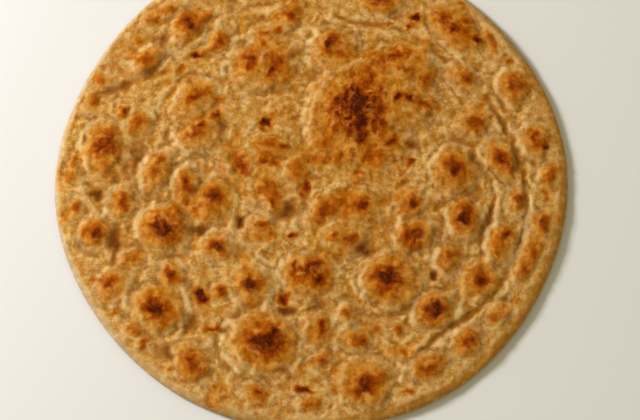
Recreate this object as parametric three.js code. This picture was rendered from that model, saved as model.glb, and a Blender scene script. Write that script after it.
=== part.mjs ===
// A paratha: a hand-rolled, layered flatbread that was cooked on a griddle until its skin rose in blisters.
// It is one piece of dough, so it is one closed solid. Millimetres, +Z up. The origin is the middle of the
// flat underside, +X runs across the bread and +Y from its near edge to its far edge.
import * as THREE from "three";

// The rolled disc.
const WIDTH = 222; // across, along X
const DEPTH = 213; // near edge to far edge, along Y
const DOUGH = 4.6; // thickness of the dough where it hasn't risen
const WAVERS = [
  // how far the rolled edge strays from an oval: stray, times round, phase in radians
  [0.55, 2, 2.8],
  [0.15, 3, 6.1],
  [0.35, 4, 4.7],
  [0.15, 5, 3.2],
  [0.5, 6, 6.1],
];

// The rolled rim, which is broadest and slopes most at the near right.
const RIM_ROUND = 4.2; // width of the rounding from the top face out to the widest line
const RIM_ROUND_MORE = 1.8; // added to that where the rim slopes most
const RIM_SLOPE_AT = -0.6; // radians round from +X to where it slopes most
const RIM_WIDEST = 1.9; // height of the widest line above the griddle
const RIM_UNDER = 2.4; // width of the rounding under the widest line

// Slow swells of the top face, from uneven rolling: height, waves per mm along X and Y, phase in radians.
const SWELLS = [
  [0.32, 0.021, 0.013, 0.4],
  [0.26, -0.016, 0.027, 2.2],
  [0.2, 0.034, -0.024, 4.1],
  [0.14, 0.05, 0.041, 1.3],
];

// Blisters: middle x, middle y, half length, half width, turn in degrees, rise above the dough.
const BLISTERS = [
  // the one great bubble and what rides on its flank
  [22, 34, 28, 22, 40, 3.2],
  [38, 50, 15, 9.5, 25, 2.2],
  [44, 34, 12, 10, 60, 1.9],
  [34, 15, 12, 8, 20, 1.6],
  [50, 46, 7, 4.2, 62, 1.2],
  [50, 32.5, 8, 4, -15, 1.2],
  // far left
  [-54, 69, 8.5, 6.5, 60, 1.9],
  [-71, 55, 8.5, 5.5, 52, 2.1],
  [-70, 72.5, 4.5, 3.5, 40, 0.8],
  [-62, 79, 5.5, 3.5, 40, 0.8],
  [-47, 75, 5.5, 3.5, 40, 0.8],
  [-91, 46, 4.5, 4, 60, 0.6],
  [-96, 36, 6.5, 3.2, 62, 0.6],
  [-41, 63, 7, 5, 50, 1.2],
  [-51, 36, 12, 8.5, 50, 2.2],
  [-49, 21, 11, 8.5, 25, 2.2],
  [-82, 31, 4, 3, 80, 1.0],
  [-75, 25, 7.5, 5.2, 85, 1.7],
  [-90, 15, 12.5, 9, 75, 2.3],
  // left
  [-66.5, 4.5, 10.5, 6, 68, 1.9],
  [-54, -1.5, 9, 6.3, 75, 1.9],
  [-42, -8, 10, 9, 70, 1.7],
  [-81, -9, 7.8, 6.2, 75, 1.5],
  [-64, -21, 11.5, 10.5, 0, 2.4],
  [-92.5, -23, 7.5, 7, 90, 1.7],
  [-101.5, -11.5, 3.5, 3.2, 90, 0.8],
  [-103, 3, 4.5, 4.5, 90, 0.6],
  [-40, -29, 7.5, 6.8, 90, 1.5],
  [-78, -35, 5, 4, 0, 0.6],
  // near left
  [-65, -56, 12, 11, 0, 2.4],
  [-84, -46, 8.5, 7.2, 60, 1.6],
  [-59, -41, 6.5, 5.5, 0, 1.1],
  [-50, -80, 8.5, 7.8, -45, 1.7],
  [-75, -65, 5, 3.2, -42, 0.6],
  [-38, -48, 4, 3.4, 20, 1.0],
  [-39, -64.5, 3.8, 3.2, 0, 0.8],
  [-25, -46, 10, 8.5, -60, 1.9],
  [-20, -71, 15.5, 13.5, 0, 2.9],
  [-22.5, -93.5, 7.5, 6, -20, 1.5],
  // near middle
  [-1, -42, 12.5, 10, -10, 2.3],
  [15, -58.5, 5.5, 4, 70, 1.5],
  [3, -66, 8, 6.5, -60, 1.5],
  [19, -69, 8.5, 5.5, 5, 1.5],
  [37, -65.5, 3.4, 2.8, -30, 0.8],
  [4, -79, 6, 3.4, 15, 1.0],
  [0, -97, 6.5, 4, 5, 1.0],
  [23, -88, 12, 11, 15, 2.5],
  [34, -44, 13.5, 12, -20, 2.7],
  // near right
  [52.5, -58, 9.5, 8.8, 30, 2.2],
  [72, -44, 8.5, 8, 45, 2.1],
  [58.5, -35, 7.5, 6.2, 50, 1.7],
  [79, -59, 6, 4.5, 50, 1.1],
  [66, -71, 8.2, 7.2, 60, 1.9],
  [50, -81, 9, 5.5, 12, 1.5],
  [94, -33, 8, 4.6, 62, 1.3],
  [90.5, -41, 5, 3.5, 25, 1.1],
  // right
  [62, 4.5, 11.5, 10.5, 80, 2.4],
  [43, -10, 7.5, 7, 60, 1.6],
  [66, -17, 9.5, 7.2, 85, 2.3],
  [88, -9.5, 7.5, 5.2, 70, 1.5],
  [44, -24.5, 9.5, 7.2, 10, 2.2],
  [99, -19.5, 6, 4.2, 75, 1.3],
  [102.5, 3, 6.5, 4.2, 80, 1.1],
  [82, -28, 9, 7.2, 60, 1.9],
  [82, 9.5, 10, 5.2, -62, 2.1],
  [98, 18, 8.5, 7, 110, 2.0],
  // far right
  [63, 69.5, 14.5, 8.5, -42, 2.4],
  [79, 61, 7, 4, -65, 1.1],
  [89, 42.5, 9.5, 8, -65, 2.3],
  [66, 46, 8.5, 6, -55, 1.6],
  [70.5, 27, 8, 7.5, 0, 1.9],
  [49, 89, 8, 5.5, -35, 1.5],
  // far middle
  [-20, 53, 16.5, 11.5, 25, 2.3],
  [-9, 74, 8, 5, 25, 1.3],
  [-21.5, 66, 6, 5, 60, 0.8],
  [10, 59, 11.5, 10.5, 0, 2.3],
  [32, 83, 11, 7, 10, 1.6],
  [8, 92, 8, 5.5, 5, 1.5],
  [-16, 94, 7, 5, 15, 1.5],
  [-38, 88, 7.5, 5, 25, 1.3],
  // middle, where the layers broke through
  [23, -11, 8.5, 7.5, 0, 1.6],
  [15, -25.5, 10.5, 7.5, -8, 1.9],
  [5.5, -13, 10, 5, 35, 1.1],
  [-5.5, 4, 7, 4.8, 80, 1.3],
  [-35, 4.5, 5, 4.5, 0, 1.1],
  [-18.5, 15.5, 8.5, 6, 15, 0.9],
  [-24, -22, 7.5, 6, 60, 1.1],
];
const EDGE_SHARE = 0.3; // of a blister's rise, taken by its edge
const EDGE_WIDTH = 0.75; // over which the edge rises by half, either side of the blister's outline
const EDGE_OUT = 0.2; // how far outside the outline the middle of the edge is
const MOAT = 0.05; // share of a blister's rise by which the dough sinks round its foot
const MOAT_OUT = 2.2; // from the outline to the bottom of that moat
const MOAT_WIDTH = 1.8;

// Hollows between blisters: middle x, middle y, half length, half width, turn in degrees, strength.
const HOLLOWS = [
  [-92.5, -6.5, 3.4, 2.6, 0, 1.2],
  [-84, -27, 7, 3.8, 88, 1.2],
  [-49, -22, 6, 3, 10, 1.1],
  [-32, 8, 5.4, 3, 120, 1.4],
  [24, -31, 7, 3.8, 10, 1.0],
  [-12.5, -51, 4, 3, -70, 1.2],
  [-10, -57, 3.6, 3, 0, 1.2],
  [-11, -12.5, 6.4, 4.6, 30, 1.4],
  [-47, -50, 5, 4.2, -32, 1.4],
  [51.5, -41, 3, 2.2, 70, 1.3],
  [-62, -76, 5, 3.4, 0, 0.8],
  [-69, 50.5, 5, 2.6, 55, 1.0],
  [-39.5, 25, 5, 3, 80, 0.8],
  [-7, 57, 4, 2.6, 60, 0.8],
  [42, 15.5, 6.8, 2.8, 8, 1.2],
  [1.5, 9, 4, 3, 0, 0.7],
  [-3, -3, 4.8, 3.4, 80, 1.2],
  [-20, 26.5, 3.8, 3.2, 60, 1.6],
  [-30.5, -18, 3, 2.4, -60, 1.5],
  [-50, 57, 3, 2.4, 0, 1.6],
  [-83, 42, 8.5, 3.8, 20, 0.5],
  [-66, 63, 5, 3, 60, 0.7],
  [-76, 9, 8, 3.6, 75, 0.8],
  [-86, 0, 6, 3.4, 50, 0.7],
  [-53, -64, 6, 3.4, 60, 0.7],
  [77, -17, 7, 2.6, 80, 0.7],
  [-30, -34, 5, 3, 40, 0.6],
  [3, -56, 5, 2.8, 30, 0.6],
];
const HOLLOW_DEPTH = 0.7; // of a hollow of strength 1

// Creases where a layer of the coiled dough was rolled over the next: depth, then the points it runs through.
const CREASES = [
  {
    depth: 0.49,
    path: [
      [76, 38],
      [84, 24],
      [91, 6],
      [92, -18],
      [84, -40],
      [71, -56],
      [54, -68],
      [41, -80],
    ],
  },
  {
    depth: 0.38,
    path: [
      [70, 11],
      [75, 3],
      [78.5, -5],
      [77.5, -14],
      [74, -22],
      [72, -34],
    ],
  },
  {
    depth: 0.30,
    path: [
      [10, 75],
      [26, 71.5],
      [40, 68.5],
      [52, 61],
      [59, 55],
    ],
  },
  {
    depth: 0.34,
    path: [
      [-93, 39],
      [-85, 41.5],
      [-78, 45],
      [-70, 47.5],
      [-62, 49],
    ],
  },
  {
    depth: 0.30,
    path: [
      [-57, 61],
      [-49, 67.5],
      [-43, 73.5],
      [-35, 77.5],
      [-26, 79.5],
      [-16, 82],
    ],
  },
  {
    depth: 0.22,
    path: [
      [-46, 56],
      [-38, 64],
      [-30, 70],
      [-22, 74],
    ],
  },
  {
    depth: 0.30,
    path: [
      [-67, 24],
      [-66, 32],
      [-63, 39],
      [-58, 45],
      [-52, 49],
    ],
  },
  {
    depth: 0.26,
    path: [
      [-79, -39],
      [-75.5, -45],
      [-75.5, -52],
      [-77.5, -59],
    ],
  },
  {
    depth: 0.26,
    path: [
      [-96, 27],
      [-101, 19],
      [-101, 9],
      [-97.5, 2],
      [-93, -4],
    ],
  },
  {
    depth: 0.26,
    path: [
      [44, -55],
      [36, -58.5],
      [28, -59],
      [21, -58],
    ],
  },
  {
    depth: 0.26,
    path: [
      [-37, -61],
      [-40, -69],
      [-38, -78],
      [-31, -85],
      [-22, -87],
    ],
  },
];
const CREASE_WIDTH = 1.8;
const LIP_OFFSET = 2.8; // from the bottom of a crease to the top of the fold beside it
const LIP_SHARE = 0.7; // height of that fold as a share of the crease's depth
const LIP_WIDTH = 1.8;

// The facets: rings on the top face, rows down the rim and rings under it.
const TOP_RINGS = 37;
const MORE_PER_RING = 6; // each ring has this many points more than the one inside it
const RIM_ROWS = 3;
const UNDER_ROWS = 2;
const UNDER_RINGS = [148, 86, 46, 24, 12]; // points in each ring under the dough, from the rim inwards

const TURN = 2 * Math.PI;

// Distance from the middle to the rolled edge, in one direction.
function edgeRadius(angle) {
  const oval = 1 / Math.hypot(Math.cos(angle) / (WIDTH / 2), Math.sin(angle) / (DEPTH / 2));
  return WAVERS.reduce((r, [stray, times, phase]) => r + stray * Math.cos(times * angle + phase), oval);
}

function rimRounding(angle) {
  return RIM_ROUND + RIM_ROUND_MORE * Math.cos(angle - RIM_SLOPE_AT);
}

// A bump of height 1 that falls off either side of zero.
function bump(distance, width) {
  return Math.exp(-((distance / width) ** 2));
}

// How far out a point is from an oval's middle, 1 being on its outline, and its distance from that outline.
function placeInOval([cx, cy, halfLength, halfWidth, turn], x, y) {
  const angle = THREE.MathUtils.degToRad(turn);
  const along = (x - cx) * Math.cos(angle) + (y - cy) * Math.sin(angle);
  const across = (y - cy) * Math.cos(angle) - (x - cx) * Math.sin(angle);
  const reach = Math.hypot(along / halfLength, across / halfWidth);
  return { reach, outside: (reach - 1) * Math.sqrt(halfLength * halfWidth) };
}

// Ovals that overlap count as the larger of the two, with a share of the smaller added.
function largerWithShare(first, second, share) {
  return Math.max(first, second) + share * Math.min(first, second);
}

// Blisters are low domes with soft edges and a shallow moat round each.
function blistersHeight(x, y) {
  const SHARED = 0.35;
  let risen = 0;
  let sunk = 0;
  for (const blister of BLISTERS) {
    const rise = blister[5];
    const { reach, outside } = placeInOval(blister, x, y);
    const edge = 1 / (1 + Math.exp((outside - EDGE_OUT) / EDGE_WIDTH));
    const crown = 1 - (1 - EDGE_SHARE) * Math.min(reach, 1) ** 2;
    risen = largerWithShare(risen, rise * edge * crown, SHARED);
    sunk = Math.max(sunk, rise * MOAT * bump(outside - MOAT_OUT, MOAT_WIDTH));
  }
  return risen - sunk;
}

function hollowsDepth(x, y) {
  const SHARED = 0.4;
  const sink = (hollow) => hollow[5] * Math.exp(-1.2 * placeInOval(hollow, x, y).reach ** 2.4);
  const together = HOLLOWS.reduce((depth, hollow) => largerWithShare(depth, sink(hollow), SHARED), 0);
  return HOLLOW_DEPTH * together;
}

// Each crease as a smooth run of short straight steps.
const creaseRuns = CREASES.map(({ depth, path }) => {
  const STEPS_PER_POINT = 5;
  const curve = new THREE.SplineCurve(path.map(([x, y]) => new THREE.Vector2(x, y)));
  return { depth, points: curve.getPoints(path.length * STEPS_PER_POINT) };
});

function distanceToRun(points, spot) {
  let nearest = Infinity;
  const step = new THREE.Vector2();
  const toSpot = new THREE.Vector2();
  for (let i = 1; i < points.length; i++) {
    step.subVectors(points[i], points[i - 1]);
    toSpot.subVectors(spot, points[i - 1]);
    const share = THREE.MathUtils.clamp(toSpot.dot(step) / step.lengthSq(), 0, 1);
    nearest = Math.min(nearest, toSpot.distanceTo(step.multiplyScalar(share)));
  }
  return nearest;
}

function creasesHeight(x, y) {
  const spot = new THREE.Vector2(x, y);
  let height = 0;
  for (const { depth, points } of creaseRuns) {
    const distance = distanceToRun(points, spot);
    height -= depth * bump(distance, CREASE_WIDTH);
    height += depth * LIP_SHARE * bump(distance - LIP_OFFSET, LIP_WIDTH);
  }
  return height;
}

function swellHeight(x, y) {
  const swell = ([height, u, v, phase]) => height * Math.sin(TURN * (u * x + v * y) + phase);
  return SWELLS.reduce((sum, row) => sum + swell(row), 0);
}

function topHeight(x, y) {
  return DOUGH + swellHeight(x, y) + blistersHeight(x, y) - hollowsDepth(x, y) + creasesHeight(x, y);
}

// A ring of points, as [x, y, z], from a rule that takes each point's direction.
function ring(count, pointAt) {
  return Array.from({ length: count }, (_, i) => pointAt((TURN * i) / count));
}

function polar(radius, angle) {
  return [radius * Math.cos(angle), radius * Math.sin(angle)];
}

function topRings() {
  return Array.from({ length: TOP_RINGS }, (_, i) => {
    const share = (i + 1) / TOP_RINGS;
    return ring(MORE_PER_RING * (i + 1), (angle) => {
      const [x, y] = polar(share * (edgeRadius(angle) - rimRounding(angle)), angle);
      return [x, y, topHeight(x, y)];
    });
  });
}

// Rows down the outside of the rim, from the top face to the widest line.
function rimRings() {
  return Array.from({ length: RIM_ROWS }, (_, i) => {
    const lean = (Math.PI / 2) * ((i + 1) / RIM_ROWS);
    return ring(MORE_PER_RING * TOP_RINGS, (angle) => {
      const round = rimRounding(angle);
      const [x, y] = polar(edgeRadius(angle) - round * (1 - Math.sin(lean)), angle);
      return [x, y, RIM_WIDEST + (topHeight(x, y) - RIM_WIDEST) * Math.cos(lean)];
    });
  });
}

// Rows under the widest line, down to the griddle.
function underRimRings() {
  return Array.from({ length: UNDER_ROWS }, (_, i) => {
    const lean = (Math.PI / 2) * ((i + 1) / UNDER_ROWS);
    return ring(MORE_PER_RING * TOP_RINGS, (angle) => {
      const radius = edgeRadius(angle) - RIM_UNDER * (1 - Math.cos(lean));
      return [...polar(radius, angle), RIM_WIDEST * (1 - Math.sin(lean))];
    });
  });
}

// Flat rings on the underside, fewer and fewer points towards the middle.
function undersideRings() {
  return UNDER_RINGS.map((count, i) => {
    const share = 1 - (i + 1) / (UNDER_RINGS.length + 1);
    return ring(count, (angle) => [...polar(share * (edgeRadius(angle) - RIM_UNDER), angle), 0]);
  });
}

// Triangles between two rings of points, which may differ in number. Each ring is {start, count}, and a
// ring of one point is the middle of a face.
function zip(inner, outer, triangles) {
  const innerPoint = (i) => inner.start + (i % inner.count);
  const outerPoint = (j) => outer.start + (j % outer.count);
  let i = 0;
  let j = 0;
  while (i < inner.count || j < outer.count) {
    const stepsIn = i < inner.count && (i + 1) * outer.count <= (j + 1) * inner.count;
    const last = stepsIn ? innerPoint(i + 1) : outerPoint(j + 1);
    const corners = [innerPoint(i), outerPoint(j), last];
    if (new Set(corners).size === corners.length) triangles.push(...corners);
    if (stepsIn) i++;
    else j++;
  }
}

// One closed skin: from the middle of the top face out, down the rim and back in underneath.
function breadGeometry() {
  const top = [[0, 0, topHeight(0, 0)]];
  const bottom = [[0, 0, 0]];
  const rings = [top, ...topRings(), ...rimRings(), ...underRimRings(), ...undersideRings(), bottom];
  const spans = [];
  const positions = [];
  for (const points of rings) {
    spans.push({ start: positions.length / 3, count: points.length });
    positions.push(...points.flat());
  }
  const triangles = [];
  for (let i = 1; i < spans.length; i++) zip(spans[i - 1], spans[i], triangles);
  const geometry = new THREE.BufferGeometry();
  geometry.setAttribute("position", new THREE.Float32BufferAttribute(positions, 3));
  geometry.setIndex(triangles);
  geometry.computeBoundingBox();
  const middle = geometry.boundingBox.getCenter(new THREE.Vector3());
  geometry.translate(-middle.x, -middle.y, 0);
  geometry.computeVertexNormals();
  return geometry;
}

function bakedDough() {
  return new THREE.MeshStandardMaterial({ color: 0xb9803a, roughness: 0.6, metalness: 0 });
}

const paratha = new THREE.Mesh(breadGeometry(), bakedDough());
paratha.name = "paratha";

const group = new THREE.Group();
group.add(paratha);

export default group;
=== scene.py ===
"""A paratha: one layered flatbread, rolled by hand and browned on a griddle.

The bread is worked out in millimetres in its own frame, with +X to its right, +Y to its far edge
and +Z up out of the blistered face. It is brought to metres once, when its mesh is finished.
"""

import math
import random

import bpy
from mathutils import Matrix, Vector


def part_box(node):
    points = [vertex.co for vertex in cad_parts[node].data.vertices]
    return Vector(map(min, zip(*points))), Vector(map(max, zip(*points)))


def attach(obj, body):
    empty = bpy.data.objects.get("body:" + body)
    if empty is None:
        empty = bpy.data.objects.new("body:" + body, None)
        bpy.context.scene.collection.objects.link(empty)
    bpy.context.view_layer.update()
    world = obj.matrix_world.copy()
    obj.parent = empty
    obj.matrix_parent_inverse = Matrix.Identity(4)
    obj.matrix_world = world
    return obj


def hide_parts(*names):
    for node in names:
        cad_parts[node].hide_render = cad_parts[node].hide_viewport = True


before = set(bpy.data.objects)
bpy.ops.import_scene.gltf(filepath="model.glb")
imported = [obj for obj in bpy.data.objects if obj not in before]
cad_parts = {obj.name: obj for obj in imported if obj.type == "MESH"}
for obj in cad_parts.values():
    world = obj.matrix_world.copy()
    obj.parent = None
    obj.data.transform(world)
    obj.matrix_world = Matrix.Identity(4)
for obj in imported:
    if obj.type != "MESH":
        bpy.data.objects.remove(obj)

MM = 0.001
TURN = 2 * math.pi
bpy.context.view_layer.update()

# -------- sizes of the rolled disc, in mm

bread_low, bread_high = (Vector(corner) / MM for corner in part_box("paratha"))
WIDTH = bread_high.x - bread_low.x
DEPTH = bread_high.y - bread_low.y
DOUGH = 4.6  # thickness where the dough hasn't risen
# How far the rolled edge strays from an oval: stray, times round, phase in radians.
WAVERS = [(0.55, 2, 2.8), (0.15, 3, 6.1), (0.35, 4, 4.7), (0.15, 5, 3.2), (0.5, 6, 6.1)]
RIM_ROUND = 4.2  # width of the rounding from the top face out to the widest line
RIM_ROUND_MORE = 1.8  # added to it where the rim slopes most
RIM_SLOPE_AT = -0.6  # radians round from +X to where it slopes most
RIM_WIDEST = 1.9  # height of the widest line above the griddle
RIM_UNDER = 2.4  # width of the rounding under the widest line

TOP_RINGS = 156
RING_STEP = 6  # points that each ring has more than the one inside it
RIM_ROWS = 9
UNDER_ROWS = 4
UNDERSIDE_RINGS = 56

# -------- what the griddle did to the top face

# Blisters: middle x, middle y, half length, half width, turn in degrees, rise above the dough.
BLISTERS = [
    # the one great bubble and what rides on its flank
    (22, 34, 28, 22, 40, 3.2), (38, 50, 15, 9.5, 25, 2.2), (44, 34, 12, 10, 60, 1.9),
    (34, 15, 12, 8, 20, 1.6), (50, 46, 7, 4.2, 62, 1.2), (50, 32.5, 8, 4, -15, 1.2),
    # far left
    (-54, 69, 8.5, 6.5, 60, 1.9), (-71, 55, 8.5, 5.5, 52, 2.1), (-70, 72.5, 4.5, 3.5, 40, 0.8),
    (-62, 79, 5.5, 3.5, 40, 0.8), (-47, 75, 5.5, 3.5, 40, 0.8), (-91, 46, 4.5, 4, 60, 0.6),
    (-96, 36, 6.5, 3.2, 62, 0.6), (-41, 63, 7, 5, 50, 1.2), (-51, 36, 12, 8.5, 50, 2.2),
    (-49, 21, 11, 8.5, 25, 2.2), (-82, 31, 4, 3, 80, 1), (-75, 25, 7.5, 5.2, 85, 1.7),
    (-90, 15, 12.5, 9, 75, 2.3),
    # left
    (-66.5, 4.5, 10.5, 6, 68, 1.9), (-54, -1.5, 9, 6.3, 75, 1.9), (-42, -8, 10, 9, 70, 1.7),
    (-81, -9, 7.8, 6.2, 75, 1.5), (-64, -21, 11.5, 10.5, 0, 2.4), (-92.5, -23, 7.5, 7, 90, 1.7),
    (-101.5, -11.5, 3.5, 3.2, 90, 0.8), (-103, 3, 4.5, 4.5, 90, 0.6),
    (-40, -29, 7.5, 6.8, 90, 1.5), (-78, -35, 5, 4, 0, 0.6),
    # near left
    (-65, -56, 12, 11, 0, 2.4), (-84, -46, 8.5, 7.2, 60, 1.6), (-59, -41, 6.5, 5.5, 0, 1.1),
    (-50, -80, 8.5, 7.8, -45, 1.7), (-75, -65, 5, 3.2, -42, 0.6), (-38, -48, 4, 3.4, 20, 1),
    (-39, -64.5, 3.8, 3.2, 0, 0.8), (-25, -46, 10, 8.5, -60, 1.9), (-20, -71, 15.5, 13.5, 0, 2.9),
    (-22.5, -93.5, 7.5, 6, -20, 1.5),
    # near middle
    (-1, -42, 12.5, 10, -10, 2.3), (15, -58.5, 5.5, 4, 70, 1.5), (3, -66, 8, 6.5, -60, 1.5),
    (19, -69, 8.5, 5.5, 5, 1.5), (37, -65.5, 3.4, 2.8, -30, 0.8), (4, -79, 6, 3.4, 15, 1),
    (0, -97, 6.5, 4, 5, 1), (23, -88, 12, 11, 15, 2.5), (34, -44, 13.5, 12, -20, 2.7),
    # near right
    (52.5, -58, 9.5, 8.8, 30, 2.2), (72, -44, 8.5, 8, 45, 2.1), (58.5, -35, 7.5, 6.2, 50, 1.7),
    (79, -59, 6, 4.5, 50, 1.1), (66, -71, 8.2, 7.2, 60, 1.9), (50, -81, 9, 5.5, 12, 1.5),
    (94, -33, 8, 4.6, 62, 1.3), (90.5, -41, 5, 3.5, 25, 1.1),
    # right
    (62, 4.5, 11.5, 10.5, 80, 2.4), (43, -10, 7.5, 7, 60, 1.6), (66, -17, 9.5, 7.2, 85, 2.3),
    (88, -9.5, 7.5, 5.2, 70, 1.5), (44, -24.5, 9.5, 7.2, 10, 2.2), (99, -19.5, 6, 4.2, 75, 1.3),
    (102.5, 3, 6.5, 4.2, 80, 1.1), (82, -28, 9, 7.2, 60, 1.9), (82, 9.5, 10, 5.2, -62, 2.1),
    (98, 18, 8.5, 7, 110, 2),
    # far right
    (63, 69.5, 14.5, 8.5, -42, 2.4), (79, 61, 7, 4, -65, 1.1), (89, 42.5, 9.5, 8, -65, 2.3),
    (66, 46, 8.5, 6, -55, 1.6), (70.5, 27, 8, 7.5, 0, 1.9), (49, 89, 8, 5.5, -35, 1.5),
    # far middle
    (-20, 53, 16.5, 11.5, 25, 2.3), (-9, 74, 8, 5, 25, 1.3), (-21.5, 66, 6, 5, 60, 0.8),
    (10, 59, 11.5, 10.5, 0, 2.3), (32, 83, 11, 7, 10, 1.6), (8, 92, 8, 5.5, 5, 1.5),
    (-16, 94, 7, 5, 15, 1.5), (-38, 88, 7.5, 5, 25, 1.3),
    # middle, where the layers broke through
    (23, -11, 8.5, 7.5, 0, 1.6), (15, -25.5, 10.5, 7.5, -8, 1.9), (5.5, -13, 10, 5, 35, 1.1),
    (-5.5, 4, 7, 4.8, 80, 1.3), (-35, 4.5, 5, 4.5, 0, 1.1), (-18.5, 15.5, 8.5, 6, 15, 0.9),
    (-24, -22, 7.5, 6, 60, 1.1),
]

# Hollows between blisters, also darkened in the finish as painted shade: middle x, middle y, half
# length, half width, turn in degrees, depth.
HOLLOWS = [
    (-92.5, -6.5, 3.4, 2.6, 0, 1.2), (-84, -27, 7, 3.8, 88, 1.2), (-49, -22, 6, 3, 10, 1.1),
    (-32, 8, 5.4, 3, 120, 1.4), (24, -31, 7, 3.8, 10, 1), (-12.5, -51, 4, 3, -70, 1.2),
    (-10, -57, 3.6, 3, 0, 1.2), (-11, -12.5, 6.4, 4.6, 30, 1.4), (-47, -50, 5, 4.2, -32, 1.4),
    (51.5, -41, 3, 2.2, 70, 1.3), (-62, -76, 5, 3.4, 0, 0.8), (-69, 50.5, 5, 2.6, 55, 1),
    (-39.5, 25, 5, 3, 80, 0.8), (-7, 57, 4, 2.6, 60, 0.8), (42, 15.5, 6.8, 2.8, 8, 1.2),
    (1.5, 9, 4, 3, 0, 0.7), (-3, -3, 4.8, 3.4, 80, 1.2), (-20, 26.5, 3.8, 3.2, 60, 1.6),
    (-30.5, -18, 3, 2.4, -60, 1.5), (-50, 57, 3, 2.4, 0, 1.6), (-83, 42, 8.5, 3.8, 20, 0.5),
    (-66, 63, 5, 3, 60, 0.7), (-76, 9, 8, 3.6, 75, 0.8), (-86, 0, 6, 3.4, 50, 0.7),
    (-53, -64, 6, 3.4, 60, 0.7), (77, -17, 7, 2.6, 80, 0.7), (-30, -34, 5, 3, 40, 0.6),
    (3, -56, 5, 2.8, 30, 0.6),
]

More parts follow.
